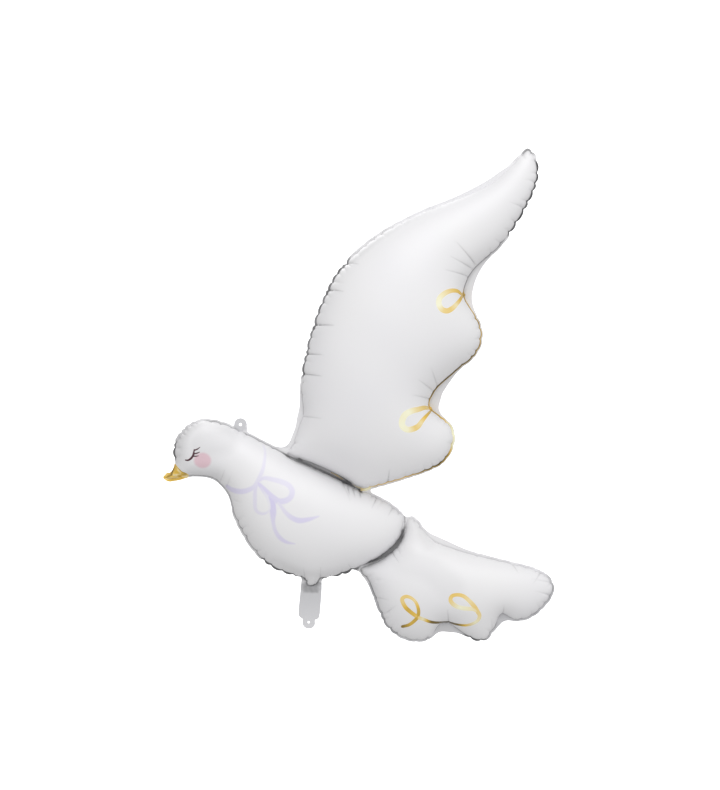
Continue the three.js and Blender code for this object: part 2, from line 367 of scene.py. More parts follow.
def crease_points(creases):
    """Mesh points along the creases that are deep or long."""
    spots = []
    for start, heading, length, depth, width, bend, line, _ in creases:
        if depth * length > SMALL_CREASE:
            side = np.array([-heading[1], heading[0]])
            t = np.arange(0.03, 1, 2.0 / length)
            middle = start + np.outer(t * length, heading) + np.outer(bend * t ** 2, side)
            shifts = (-2.1, -0.75, 0, 0.75, 2.1) if line else (-1.5, 0, 1.5)
            spots += [middle + shift * side for shift in shifts]
    return np.vstack(spots)


# Creases that the photograph shows: pixel at the start and at the end, depth and width in millimetres,
# darkness
# The darkness is the strength of the painted shade along each fold line
SEEN_CREASES = {
    "wing": [
        (343, 262, 358, 265, 2.8, 3.6, 0.6), (328, 290, 342, 292, 3.0, 3.6, 0.7),
        (313, 325, 334, 326, 3.2, 4.0, 0.8), (304, 354, 322, 355, 3.0, 3.4, 0.7),
        (301, 374, 321, 376, 2.8, 3.4, 0.8), (300, 416, 322, 418, 1.4, 3.0, 0.35),
        (474, 264, 456, 244, 1.5, 2.6, 0.5), (471, 269, 450, 258, 1.3, 2.4, 0.4),
        (468, 277, 444, 271, 1.2, 2.2, 0.4), (437, 386, 431, 370, 1.4, 2.2, 0.4),
        (433, 391, 418, 380, 1.6, 2.4, 0.4), (430, 399, 413, 395, 1.3, 2.2, 0.4),
        (388, 483, 389, 470, 1.8, 2.4, 0.6), (476, 318, 466, 321, 1.0, 2.2, 0.0),
        (440, 417, 432, 425, 1.0, 2.4, 0.0), (522, 208, 509, 203, 1.5, 2.6, 0.2),
    ],
    "body": [
        (343, 482, 350, 499, 1.4, 2.6, 0.25), (348, 486, 349.5, 494, 1.4, 2.4, 0.6),
        (353, 488, 355, 496, 1.4, 2.4, 0.6), (376, 499, 372, 507, 1.6, 2.2, 0.4),
        (226, 488, 232, 475, 1.3, 3.0, 0.15), (220.5, 481, 226, 469, 1.3, 2.6, 0.3),
        (218, 480, 215, 471, 1.1, 2.6, 0.1), (234, 500, 244, 503, 1.3, 2.6, 0.0),
        (305, 583, 304, 567, 1.8, 2.6, 0.5), (320, 583, 321, 567, 1.8, 2.6, 0.5),
        (246, 537, 256, 530, 1.2, 2.4, 0.0), (176, 458, 186, 456, 0.9, 2.0, 0.0),
        (177, 437, 186, 440, 1.3, 2.6, 0.2), (179, 431, 188, 436, 1.3, 2.6, 0.25),
        (182.5, 427, 190, 434, 1.3, 2.4, 0.2), (176, 447.5, 185, 448, 1.1, 2.4, 0.15),
        (188, 422, 193, 430, 1.1, 2.4, 0.12), (195, 419.5, 198, 427, 1.0, 2.4, 0.1),
        (360, 491, 360.5, 498, 1.2, 2.2, 0.7), (393, 507, 388, 515, 1.3, 2.2, 0.35),
    ],
    "tail": [
        (449, 630, 447, 610, 2.2, 2.8, 0.6), (502, 619, 503, 606, 2.0, 2.6, 0.6),
        (493, 634, 491, 618, 1.8, 2.6, 0.3), (389, 548, 399, 562, 1.8, 2.6, 0.5),
        (395, 545, 402, 555, 1.5, 2.6, 0.3), (373, 597, 386, 598, 1.8, 2.6, 0.35),
        (435, 541, 440, 551, 1.0, 2.6, 0.0), (552, 582, 532, 578, 1.6, 2.8, 0.2),
        (550, 595, 535, 590, 1.6, 2.6, 0.2), (541, 571, 533, 582, 1.6, 2.6, 0.3),
        (477, 552, 476, 563, 1.0, 2.4, 0.0), (410, 518, 412, 530, 0.7, 2.4, 0.1),
        (511, 561, 517, 571, 1.3, 2.2, 0.4), (386, 612, 396, 604, 1.5, 2.6, 0.2),
        (375, 580, 387, 578, 1.2, 2.6, 0.0), (392, 627, 399, 617, 1.3, 2.4, 0.0),
    ],
}

# Stretches of the welds between two pixels, with a strength: where the weld is rolled over and pinched and
# its rim is painted dark as painted shade, and where only a painted dark line of shade runs along the fold.
ROLLED_WITH_PAINTED_SHADE = {
    "wing": [
        (350, 257, 303, 377, 0.8), (537, 160, 508, 236, 1.0), (524, 157, 533, 155, 0.6),
    ],
    "body": [
        (262, 556, 303, 577, 0.9), (321.6, 577.6, 360, 567, 0.9), (176, 460, 176, 440, 0.9),
        (176, 440, 186, 424, 0.3), (186, 424, 204, 418, 0.12),
    ],
    "tail": [
        (462, 636, 487, 641, 0.9), (383, 608, 399, 634, 0.45), (549, 572, 553, 592, 0.35),
    ],
}
# Where only a painted dark line of shade runs along the weld's fold
PAINTED_GROOVE_SHADE = {
    "wing": [
        (507, 240, 470, 296, 0.85), (478, 310, 483, 330, 0.5), (484, 333, 431, 402, 0.85),
        (432, 408, 452, 428, 0.35), (455, 440, 415, 474, 0.7), (415, 474, 355, 487, 0.45),
        (300, 380, 303, 416, 0.45), (303, 416, 290, 450, 0.25), (400, 240, 350, 257, 0.25),
    ],
    "body": [
        (176, 468, 226, 489, 0.75), (226, 489, 266, 560, 0.75), (205, 418, 237, 428, 0.6),
        (245, 430, 300, 461, 0.7), (289, 573, 322, 577, 1.0), (322, 577, 338, 575, 0.8),
        (368, 494, 404, 513, 0.3),
    ],
    "tail": [
        (359, 567, 378, 600, 0.85), (378, 600, 402, 638, 0.5), (402, 638, 432, 640, 0.35),
        (436, 630, 452, 631, 0.3), (450, 631, 466, 638, 0.55), (488, 640, 495, 622, 0.6),
        (499, 618, 545, 611, 0.4), (545, 611, 552, 575, 0.35), (412, 515, 440, 545, 0.25),
        (440, 545, 512, 562, 0.3), (512, 562, 548, 570, 0.2),
    ],
}


STRETCH_SOFT = 8.0


def strength_along(name, place, stretches):
    """Strength of the stretches at distances along a cell's weld, with soft ends."""
    loop = CELLS[name]
    total = len(loop) * EDGE_STEP
    out = np.zeros(len(place))
    for *ends, strength in stretches:
        first, last = nearest(pixels([ends[:2], ends[2:]]), loop)[1]
        length = (last - first) % total
        if length > total / 2:
            first, length = last, total - length
        into = (place - first) % total
        into = np.where(into > (total + length) / 2, into - total, into)
        out = np.maximum(out, strength * unit(np.minimum(into, length - into) / STRETCH_SOFT + 0.5))
    return out


HEAD_SIDE = -60


def pinch_places(name, seed):
    """Distances along a cell's weld at which it is pinched, in order."""
    draw = random.Random(seed)
    loop = CELLS[name]
    total = len(loop) * EDGE_STEP
    places = list(nearest(pixels([row[:2] for row in SEEN_CREASES[name]]), loop)[1])
    at = draw.uniform(0, 20)
    while at < total - 9:
        if min(abs((at - other + total / 2) % total - total / 2) for other in places) > 7:
            places.append(at)
        close = name == "body" and loop[int(at / EDGE_STEP) % len(loop)][0] < HEAD_SIDE
        at += draw.uniform(8, 12) if close else draw.uniform(12, 23)
    return np.array(sorted(places))


SEAMS = [smooth(share(WING_SEAM), 4, closed=False), smooth(share(TAIL_SEAM), 4, closed=False)]
PINCHES = {name: pinch_places(name, seed) for seed, name in enumerate(CELLS, 21)}


def crimp(name, seed):
    """Creases at the pinches: deep and long where the edge bulges, faint where it is straight."""
    draw = random.Random(seed)
    loop = CELLS[name]
    stands_out = bulge(loop, BULGE_REACH)
    normal = outward(loop)
    front, back = [], []
    rolled = strength_along(name, PINCHES[name], ROLLED_WITH_PAINTED_SHADE[name])
    for at, roll in zip(PINCHES[name], rolled):
        i = int(at / EDGE_STEP) % len(loop)
        strength = float(np.clip(0.42 + 0.22 * stands_out[i], 0.05, 1.0))
        strength = max(strength, 1.1 * float(roll))
        if name == "body" and loop[i][0] < HEAD_SIDE and loop[i][1] > -70:
            strength = max(strength, 0.65)
        if any(nearest(loop[i:i + 1], seam, closed=False)[0][0] < SEAM for seam in SEAMS):
            strength *= 0.45
        size = draw.uniform(0.65, 1.1) * CRIMP_DEPTH * strength
        width = draw.uniform(3.0, 4.8) * (0.7 + 0.3 * strength)
        for creases in (front, back):
            tilt = math.radians(draw.gauss(0, 13))
            inward = -normal[i]
            heading = (
                inward[0] * math.cos(tilt) - inward[1] * math.sin(tilt),
                inward[0] * math.sin(tilt) + inward[1] * math.cos(tilt),
            )
            length = 6 + 17 * strength * draw.betavariate(1.3, 2.6)
            creases.append(crease(loop[i], heading, length, size, width, bend=draw.gauss(0, 1.6)))
    for *ends, seen_depth, width, line in SEEN_CREASES[name]:
        start, end = pixels([ends[:2], ends[2:]])
        length = np.linalg.norm(end - start)
        seen = crease(start, end - start, length, seen_depth, width, line=line, at_weld=False)
        front.append(seen)
        back.append(seen)
    return front, back


CRIMPS = {name: crimp(name, seed) for seed, name in enumerate(CELLS, 11)}


# Prints. A stroke is a smooth line through pixels of the photograph, with a width at each of them.

def stroke(points, widths, tones=(0.5,)):
    line = smooth(pixels(points), PRINT_STEP, closed=False)
    return line, np.atleast_1d(np.array(widths, float)) * MM_PER_PIXEL, np.array(tones, float)


def to_stroke(points, line, widths, tones):
    """Distance to the edge of a stroke in millimetres, below 0 on its inside, and the tone there."""
    gap, at = nearest(points, line, closed=False)
    t = at / np.linalg.norm(np.diff(line, axis=0), axis=1).sum()
    edge = gap - 0.5 * np.interp(t, np.linspace(0, 1, len(widths)), widths)
    return edge, np.interp(t, np.linspace(0, 1, len(tones)), tones)


EYE = [
    stroke([(186.1, 459.7), (188.2, 460), (190.3, 459.3), (192.8, 457.1), (194.3, 454.2), (195.2, 449.3)],
           [1.2, 1.9, 2.2, 2.0, 1.8, 1.1]),
    stroke([(195.2, 450), (198.2, 448.9), (201, 446.8)], [1.4, 1.4, 0.6]),
    stroke([(194.9, 453.4), (197.8, 452.9), (200.8, 451.6)], [1.4, 1.4, 0.6]),
    stroke([(193.8, 455.6), (196.6, 455.9), (199.6, 455.4)], [1.4, 1.3, 0.6]),
]
BLUSH_MIDDLE = pixel(203.5, 460)
BLUSH_RADIUS = 8.0 * MM_PER_PIXEL
BOW = [
    stroke([(263.5, 445), (265.6, 450.5), (265.2, 461), (263.3, 470), (260, 478), (257.6, 482.6),
            (255.2, 486), (250.6, 488.6), (245, 490.4), (239, 490.6), (232, 488.8), (227.6, 486.3)],
           [1.8, 2.4, 3.2, 4.0, 4.4, 4.6, 5.2, 5.2, 3.8], [0.25, 0.4, 0.45, 0.5, 0.65, 0.75, 0.75]),
    stroke([(258.6, 481), (264.3, 477.4), (274.1, 478.8), (283.6, 481.4), (290, 485), (292.9, 490),
            (291.4, 496), (286.4, 499.4), (279.5, 500), (274.5, 497), (269.9, 493.3),
            (264.3, 487.7), (258.8, 482)], [2.6, 4.4, 5.2, 5.2, 5.6, 6.2, 5.8, 3.4],
           [0.65, 0.5, 0.45, 0.6, 0.75, 0.85, 0.85]),
    stroke([(257.8, 484), (256.2, 490), (256, 497), (256.8, 508.4), (260.4, 511.8), (265.7, 512.2),
            (270.6, 508.8), (270.2, 501), (268, 494.7), (262.9, 487), (259.4, 482.6)],
           [2.8, 4.0, 3.8, 3.2, 2.2, 3.4, 4.6, 3.4], [0.65, 0.5, 0.45, 0.45, 0.15, 0.4, 0.9]),
    stroke([(262, 486), (269.5, 493.5), (275.5, 499), (280.4, 503), (286.1, 510.5), (292.4, 516.1),
            (300, 519), (308.5, 518), (319.5, 514.8)], [2.8, 3, 3.2, 3.4, 4.6, 5.4, 4.0, 1.2],
           [1.0, 0.6, 0.45, 0.55, 0.8, 0.85, 0.6]),
    stroke([(270, 495), (272.8, 502), (274, 510.2), (274.2, 520.7), (276.5, 529.8), (280.8, 536.2),
            (287, 540.4), (295.6, 542.2)], [3.4, 7.0, 6.4, 3.8, 3.6, 4.4, 3.4, 1.2],
           [1.0, 1.0, 0.85, 0.6, 0.7, 0.8, 0.6]),
]
# Gold loops; their tones paint highlights and dark reflections into the gold
LOOPS = [
    stroke([(463.6, 293.6), (461, 294.6), (457, 292.1), (450.6, 291.8), (444.2, 294.3), (438.5, 299.8),
            (437.9, 305.5), (441, 310.6), (446.1, 311.9), (451.3, 309.3), (455.7, 304.9), (458.9, 301),
            (461.5, 297.2), (464.4, 295)], [2.2, 4, 5, 5.6, 5.6, 5, 3.8, 2.2],
           [0.4, 0.5, 0.62, 0.8, 0.95, 1, 0.65, 0.6, 0.8, 0.45, 0.3]),
    stroke([(431, 408.5), (424.4, 407.6), (417.4, 409.3), (411.7, 410.6), (404.7, 414.4), (401.5, 420.8),
            (402.1, 425.9), (406.6, 429.1), (412.3, 428.5), (417.4, 425.9), (421.3, 420.8),
            (425.1, 416.4), (430.5, 410.8)], [3, 5, 6, 6.4, 6, 5.6, 4, 2.2],
           [0.55, 0.6, 0.75, 1, 0.95, 1, 0.95, 0.6, 0.75, 0.45, 0.35]),
    stroke([(402.1, 625.3), (408.5, 623.4), (413.6, 619.5), (416.8, 615.7), (418.1, 610.6),
            (417.4, 605.5), (414.9, 599.8), (410.4, 595.9), (405.3, 594.7), (401.8, 597.2),
            (404.7, 604.9), (409.1, 609.3), (414.2, 613.2), (418.1, 615.7), (423.2, 617.6),
            (429.5, 620.2), (437.2, 621.5), (447.4, 621.5), (456.3, 623.4), (465.3, 624),
            (472.3, 622.1), (477.4, 618.3), (478.6, 613.8), (476.7, 610), (472.9, 604.2),
            (467.8, 598.5), (462.1, 594), (456.3, 592.8), (451.2, 594), (449.6, 597.2),
            (450.6, 600.4), (455.1, 604.2), (460.8, 606.1), (466.5, 606.8), (472.3, 607.4),
            (476.1, 609.3)],
           [3, 3.6, 3.4, 3, 4, 4.2, 3.8, 3, 2.4, 2.2, 2.6, 3.6, 4.6, 4, 3.6, 4.4, 4.4, 3.4],
           [0.15, 0.45, 0.35, 0.4, 0.7, 0.6, 0.65, 0.4, 0.5, 0.9, 0.1, 0.05, 0, 0.1, 0.6, 0.95, 0.7,
            0.6, 0.75, 0.6, 0.55, 0.7, 1, 0.9, 0.8]),
]
# Gold in the wing's seam: its tones paint shade on the strip deep in the seam and a highlight on the
# strip's end
SEAM_GOLD = [
    stroke([(331, 472.4), (337, 475.6), (343, 479.2)], [0.6, 1.1, 0.7], [0.3, 0.42, 0.3]),
    stroke([(361, 490.2), (365.5, 489.5), (370.5, 488.5)], [1.4, 2.8, 1.8], [0.6, 1.0, 0.9]),
]
# The dark seams between the cells, and the lighter strip of film that shows in the wing's seam
SEAM_SHADOWS = [
    stroke([(276, 449), (285, 454.3), (289.5, 457), (294, 458.3), (299, 460.3)], [0.8, 1.2, 2.2, 1.8, 2.4],
           [0.4, 0.7, 0.95, 0.85, 0.9]),
    stroke([(298.5, 460), (305, 462.2), (312, 464.6), (330, 472.8), (341, 478.6), (350, 484),
            (355, 487.4)],
           [3.6, 4.6, 5, 5.2, 5, 4.2, 1.6], [0.9, 0.85, 0.8, 0.8, 0.85, 1.0, 1.0]),
    stroke([(355, 487.2), (357.6, 488.6), (360, 490.5), (362.3, 493)],
           [1.0, 1.8, 3.2, 1.0], [0.9, 1, 1, 1]),
    stroke([(357.5, 566.6), (363, 564.8), (369, 562)], [1.0, 1.1, 1.8], [0.55, 0.65, 0.95]),
    stroke([(369, 562), (375.5, 559.6), (384, 555), (391.5, 549.3), (397.8, 542.6), (401.8, 536.2),
            (403.6, 530)], [2.8, 3.8, 4.5, 4.7, 4.3, 3.8, 2.4], [1.0, 0.92, 0.8, 0.76, 0.82, 0.95, 1.0]),
    stroke([(403.6, 530), (405, 525.8), (404.6, 516.2)], [1.8, 1.1, 1.3], [0.9, 0.6, 0.75]),
    stroke([(301, 576), (303.4, 577.6), (305, 580.4), (306.6, 583.8), (308.6, 585.4), (312, 586),
            (316.4, 585.4), (318.6, 583), (319.3, 579.6), (321.5, 577.4)],
           [1.8, 2.5, 2.5, 2.1, 1.3, 1.0, 1.4, 2.4, 2.2, 1.6],
           [0.75, 0.8, 0.8, 0.7, 0.5, 0.4, 0.5, 0.8, 0.75, 0.75]),
]
# Soft painted shade that darkens the head's left side, the top of the head, the cheek, the tail, the
# belly's lower edge and the wing's top-left edge
PAINTED_SOFT_SHADE = [
    stroke([(181, 462), (180, 447), (184, 434), (195, 424)], [14, 16, 14, 10], [0.1, 0.19, 0.21, 0.16]),
    stroke([(203, 444), (225, 440)], [26], [0.12, 0.12]),
    stroke([(190, 472), (206, 476), (220, 474)], [8], [0.1, 0.11, 0.08]),
    stroke([(405, 560), (430, 568), (450, 585)], [26], [0.06, 0.08, 0.06]),
    stroke([(411, 521), (416, 532), (426, 545)], [12], [0.1, 0.12, 0.08]),
    stroke([(276, 559), (300, 571), (325, 573), (350, 566)], [3, 4, 4, 3], [0.1, 0.18, 0.14, 0.08]),
    stroke([(353, 262), (382, 238), (417, 216.5), (462, 193), (492, 172), (521, 152)],
           [1.2], [0.22, 0.26, 0.26, 0.22]),
]
SEAM_STRIP = stroke([(303, 460.8), (312, 464.2), (330, 472), (345, 480)], [1.0, 2.0, 2.2, 1.0],
                    [0.45, 0.6, 0.4])
# The gold line along the wing's edge: pixel, tone (painted highlight and dark reflection), half width in
# millimetres
EDGE_LINE = [
    (466, 293, 0.3, 2.2), (475, 308, 0.35, 1.8), (481, 320, 0.3, 2.0), (484, 333, 0.3, 2.2),
    (479, 342, 0.4, 2.2), (472, 349, 0.15, 2.6), (455, 369, 0.03, 2.9), (440, 383, 0.03, 3.0),
    (432, 396, 0.1, 2.8), (431, 404, 0.35, 2.4), (436, 413, 0.3, 2.4), (444, 420, 0.5, 2.4),
    (448, 424, 0.9, 2.8), (452, 434, 1.0, 3.8), (451, 447, 0.85, 3.8), (447, 454, 0.15, 3.8),
    (436, 464, 0.05, 3.4), (425, 470, 0.12, 2.8), (414, 474, 0.35, 2.2), (400, 479, 0.6, 1.8),
    (388, 482, 0.45, 1.6), (370, 486, 0.8, 1.6), (358, 487, 0.8, 1.4),
]
# Crumpled gold of the beak: pale painted highlights and brown painted dark reflections over the amber,
# painted one over the other
BEAK_TONE = 0.5
FAR = 50.0
BEAK_HIGHLIGHTS_AND_SHADE = [
    stroke([(164.5, 475.5), (167, 474), (170.5, 473.4)], [1.2, 1.8, 1.2], [0.6, 0.6, 0.5]),
    stroke([(165.5, 479.3), (169, 478.6), (173, 477.6)], [1.6, 2.2, 1.4], [0.64, 0.7, 0.6]),
    stroke([(177, 466.8), (178.6, 469.6), (181, 472.6)], [1.0, 2.0, 1.6], [0.6, 0.74, 0.7]),
    stroke([(172.8, 474.6), (175.5, 475.2), (180.5, 474.2)], [1.8, 2.4, 1.6], [0.74, 0.76, 0.66]),
    stroke([(174, 478.2), (179, 477.2)], [1.8, 1.6], [0.68, 0.72]),
    stroke([(181.5, 477.2), (187.5, 476)], [2.0, 2.6], [0.72, 0.78]),
    stroke([(182.6, 474.4), (186, 474.2)], [1.4, 1.8], [0.36, 0.3]),
    stroke([(178.6, 476), (181, 477)], [1.8, 1.6], [0.36, 0.34]),
    stroke([(174, 464), (172.9, 469), (171.6, 474.5)], [1.4, 1.7, 2.0], [0.26, 0.14, 0.12]),
    stroke([(176.6, 464), (179.6, 467.9), (182.2, 470.9), (186.4, 473.4)], [0.8, 1.4, 1.3, 0.9],
           [0.34, 0.2, 0.2, 0.3]),
    stroke([(164.8, 478), (168, 476.4), (171.8, 474.8)], [1.4, 1.5, 1.7], [0.3, 0.2, 0.15]),
    stroke([(170, 480.6), (178, 478.8), (184, 477.4)], [0.6, 0.8, 0.5], [0.44, 0.36, 0.42]),
]
BEAK = pixels([
    (150, 455), (174.3, 463.6), (175.8, 464.4), (178.9, 467.7), (182.4, 471.2), (186.5, 472.8),
    (189.3, 475), (186, 480), (176, 486), (150, 486),
])
NECK_TOP = pixel(312, 583)[1]
HANG_TAB_REACH = 11
GOLD_EDGE_ENDS = pixels([(467, 288), (352, 484)])


def to_polygon(points, loop):
    gap, _ = nearest(points, loop)
    return np.where(inside(points, loop), -gap, gap)


# The flat layout: every point of the front sheet seen from the front, meshed at once

def grid(step, box):
    (x0, z0), (x1, z1) = box
    row = step * math.sqrt(3) / 2
    spots = []
    for j, z in enumerate(np.arange(z0, z1, row)):
        x = np.arange(x0 + (j % 2) * step / 2, x1, step)
        spots.append(np.column_stack([x, np.full(len(x), z)]))
    return np.vstack(spots)


def apart(points, taken, gap):
    """The points that keep a gap to each other and to those already taken."""
    cells = {}
    kept = []
    for k, p in enumerate(np.vstack([taken, points]).tolist()):
        x, z = int(p[0] // gap), int(p[1] // gap)
        close = (q for i in (-1, 0, 1) for j in (-1, 0, 1) for q in cells.get((x + i, z + j), ()))
        if k >= len(taken):
            if any((p[0] - q[0]) ** 2 + (p[1] - q[1]) ** 2 < gap * gap for q in close):
                continue
            kept.append(p)
        cells.setdefault((x, z), []).append(p)
    return np.array(kept).reshape(-1, 2)


def stroke_points(line, widths, _):
    """Mesh points along a stroke: its middle, its edges and just outside them."""
    run = np.gradient(line, axis=0)
    run /= np.linalg.norm(run, axis=1)[:, None] + 1e-9
    side = np.column_stack([-run[:, 1], run[:, 0]])
    half = 0.5 * np.interp(np.linspace(0, 1, len(line)), np.linspace(0, 1, len(widths)), widths)[:, None]
    shifts = (0 * half, -half, -half - BESIDE_PRINT, half, half + BESIDE_PRINT)
    return np.vstack([line + shift * side for shift in shifts])


def rows_beside(loop):
    """Rows of mesh points along a weld: inwards over the bulging foil and outwards over the flange."""
    normal = outward(loop)
    ahead = np.roll(loop, -1, axis=0) - loop
    rows = [(loop + 0.5 * (k % 2) * ahead - gap * normal, gap, loop) for k, gap in enumerate(RIM_RINGS)]
    rows += [(loop + gap * normal, gap, OUTER) for gap in FLANGE_ROWS]
    for row, gap, limit in rows:
        yield row[inside(row, limit) & (nearest(row, loop)[0] > 0.85 * gap)]


def layout():
    """Points of the front sheet, the finest first, and the edges that the mesh has to keep."""
    cells = list(CELLS.values())
    edges = []
    count = 0
    for loop in [OUTER] + HOLES + cells:
        n = len(loop)
        edges += [(count + i, count + (i + 1) % n) for i in range(n)]
        count += n
    beside = np.vstack([row for loop in cells for row in rows_beside(loop)])
    fine = grid(BEAK_STEP, (BEAK.min(0), BEAK.max(0)))
    prints = [stroke_points(*row) for row in LOOPS + BOW + EYE]
    prints = np.vstack(prints + [smooth(BEAK[1:7], 1.0, closed=False), fine[inside(fine, BEAK)]])
    valleys = np.vstack([crease_points(creases) for pair in CRIMPS.values() for creases in pair])
    field = grid(GRID_STEP, (OUTER.min(0), OUTER.max(0)))
    plan = np.vstack([OUTER] + HOLES + cells)
    for points, keep, gap in (
        (beside, np.all([~inside(beside, hole) for hole in HOLES], axis=0), 0.45),
        (prints, np.any([inside(prints, loop) for loop in cells], axis=0), 0.6),
        (valleys, np.any([inside(valleys, loop) for loop in cells], axis=0), 0.7),
        (field, inside(field, OUTER), 0.55 * GRID_STEP),
    ):
        plan = np.vstack([plan, apart(points[keep], plan, gap)])
    return plan, edges


def mesh_plan():
    plan, edges = layout()
    verts, _, faces, _, _, _ = delaunay_2d_cdt([Vector(p) for p in plan], edges, [], 0, 1e-5)
    points = np.array(verts)
    triangles = np.array(faces)
    middle = points[triangles].mean(1)
    triangles = triangles[inside(middle, OUTER) & ~np.any([inside(middle, hole) for hole in HOLES], axis=0)]
    a, b, c = (points[triangles[:, k]] for k in range(3))
    turned = (b[:, 0] - a[:, 0]) * (c[:, 1] - a[:, 1]) - (b[:, 1] - a[:, 1]) * (c[:, 0] - a[:, 0]) < 0
    triangles[turned] = triangles[turned][:, ::-1]
    used = np.unique(triangles)
    new = np.full(len(points), -1)
    new[used] = np.arange(len(used))
    return points[used], new[triangles]


# The blown-up shape. How high its small waves stand, in millimetres.

RUFFLE = 1.1
ROLLED_WAVE = 1.9
NECK_WRINKLE = 0.55
NECK_FOLD = 0.7
SWELL = 0.35
BEAK_CRINKLE = 0.55
SHARP_ANGLE = 52


def solve(points, triangles, free, loaded):
    """Conjugate gradients for -laplace(u) = 1 inside the cells, with u = 0 everywhere else."""
    n = len(points)
    rows, columns, weights = [], [], []
    load = np.zeros(n)
    for k in range(3):
        corner, i, j = (triangles[:, (k + shift) % 3] for shift in range(3))
        p = points[i] - points[corner]
        q = points[j] - points[corner]
        twice_area = p[:, 0] * q[:, 1] - p[:, 1] * q[:, 0]
        weight = (p * q).sum(1) / np.maximum(twice_area, 1e-9) / 2
        rows += [i, j]
        columns += [j, i]
        weights += [weight, weight]
        np.add.at(load, corner, np.where(loaded, twice_area / 6, 0))
    rows, columns, weights = (np.concatenate(parts) for parts in (rows, columns, weights))
    diagonal = np.bincount(rows, weights, n)
    u = np.zeros(n)
    residual = np.where(free, load, 0)
    step = residual / np.maximum(diagonal, 1e-9)
    energy = residual @ step
    for _ in range(SOLVER_ROUNDS):
        pushed = np.where(free, diagonal * step - np.bincount(rows, weights * step[columns], n), 0)
        alpha = energy / (step @ pushed)
        u += alpha * step
        residual -= alpha * pushed
        if np.abs(residual).max() < 1e-6:
            break
        scaled = residual / np.maximum(diagonal, 1e-9)
        renewed = residual @ scaled
        step = scaled + renewed / energy * step
        energy = renewed
    return np.maximum(u, 0)


def at_depth(flat, y):
    return np.column_stack([flat[:, 0], y, flat[:, 1]])


class Sheet:
    """What every point of the layout needs to know: its cell, its depth inside it, its cell's weld."""

    def __init__(self, points, triangles):
        self.points = points
        self.triangles = triangles
        middle = points[triangles].mean(1)
        loaded = np.any([inside(middle, loop) for loop in CELLS.values()], axis=0)
        self.gap, self.place, self.member = {}, {}, {}
        for name, loop in CELLS.items():
            self.gap[name], self.place[name] = nearest(points, loop)
            self.member[name] = inside(points, loop) & (self.gap[name] > 0.05)
        self.free = np.any(list(self.member.values()), axis=0)
        self.half = FULLNESS * np.sqrt(2 * solve(points, triangles, self.free, loaded))
        self.rim_gap = np.min(list(self.gap.values()), axis=0)
        self.read_welds()

    def read_welds(self):
        """The cell that each point belongs to or lies nearest to, and the state of that cell's weld."""
        self.order = np.argmin(list(self.gap.values()), axis=0)
        for k, name in enumerate(CELLS):
            self.order[self.member[name]] = k
        self.rolled, self.groove, self.lens, self.turn, self.bulge = np.zeros((5, len(self.points)))
        for k, (name, loop) in enumerate(CELLS.items()):
            mine = self.order == k
            place = self.place[name][mine]
            self.rolled[mine] = strength_along(name, place, ROLLED_WITH_PAINTED_SHADE[name])
            self.groove[mine] = strength_along(name, place, PAINTED_GROOVE_SHADE[name])
            total = len(loop) * EDGE_STEP
            ring = np.concatenate([PINCHES[name][-1:] - total, PINCHES[name], PINCHES[name][:1] + total])
            i = np.clip(np.searchsorted(ring, place, side="right") - 1, 0, len(ring) - 2)
            t = (place - ring[i]) / (ring[i + 1] - ring[i])
            self.lens[mine] = 1 - np.abs(2 * t - 1) ** 2.4
            draw = random.Random(k)
            turns = np.array([draw.choice((-1, 1)) * draw.uniform(0.5, 1) for _ in ring])
            self.turn[mine] = turns[i % (len(ring) - 2)]
            self.bulge[mine] = bulge(loop, BULGE_REACH)[(place / EDGE_STEP).astype(int) % len(loop)]
        self.own_gap = np.choose(self.order, list(self.gap.values()))

    def normals(self, y):
        p = at_depth(self.points, y)
        a, b, c = (p[self.triangles[:, k]] for k in range(3))
        across = np.cross(b - a, c - a)
        out = np.zeros_like(p)
        for k in range(3):
            np.add.at(out, self.triangles[:, k], across)
        return out / (np.linalg.norm(out, axis=1)[:, None] + 1e-12)


sheet = Sheet(*mesh_plan())


def edge_normal(loop, place):
    """Outward normal of a closed line at the given distances along it."""
    normal = outward(loop)
    at = np.clip(place / EDGE_STEP, 0, None)
    low = np.floor(at).astype(int) % len(loop)
    high = (low + 1) % len(loop)
    t = (at - np.floor(at))[:, None]
    mixed = (1 - t) * normal[low] + t * normal[high]
    return mixed / np.linalg.norm(mixed, axis=1)[:, None]


def ruffle():
    """How far the flat foil outside the welds stands out of its plane."""
    place = np.choose(sheet.order, list(sheet.place.values()))
    strength = np.clip(0.3 + 0.2 * sheet.bulge, 0.12, 1)
    wave = np.sin(place / 5.1 + 2.2 * np.sin(place / 37))
    wave += 0.5 * np.sin(place / 2.9 + 1.3 * np.sin(place / 23))
    reach = np.clip(sheet.own_gap / FLANGE, 0, 1.6) ** 1.2
    out = RUFFLE * strength * wave * reach * (1 - 0.7 * sheet.rolled)
    out += ROLLED_WAVE * sheet.rolled * sheet.turn * sheet.lens * reach
    return np.where(sheet.free, 0, out)


def neck_wrinkles():
    """Cross wrinkles in a band where the blown-up belly runs into the flat neck."""
    x, z = sheet.points.T
    band = neck_band()
    wave = np.sin(z / 0.9 + 1.5 * np.sin(x / 2.6)) + 0.6 * np.sin(x / 1.7)
    left, low = pixel(296, 588)
    on_neck = (z < low) & (x > left) & (x < pixel(323, 588)[0])
    long = NECK_FOLD * np.sin(x / 6.5 + 0.9) * unit((low - z) / 12) * on_neck
    return np.where(sheet.free, 0, NECK_WRINKLE * wave * band + long)


def neck_band():
    """1 in the wrinkled band at the neck's top, 0 elsewhere."""
    low, high = pixels([(303, 592), (318.5, 584)])
    p = sheet.points
    inner = np.min([p - low, high - p], axis=(0, 2))
    return unit(inner / 1.2 + 0.5) * ~sheet.free


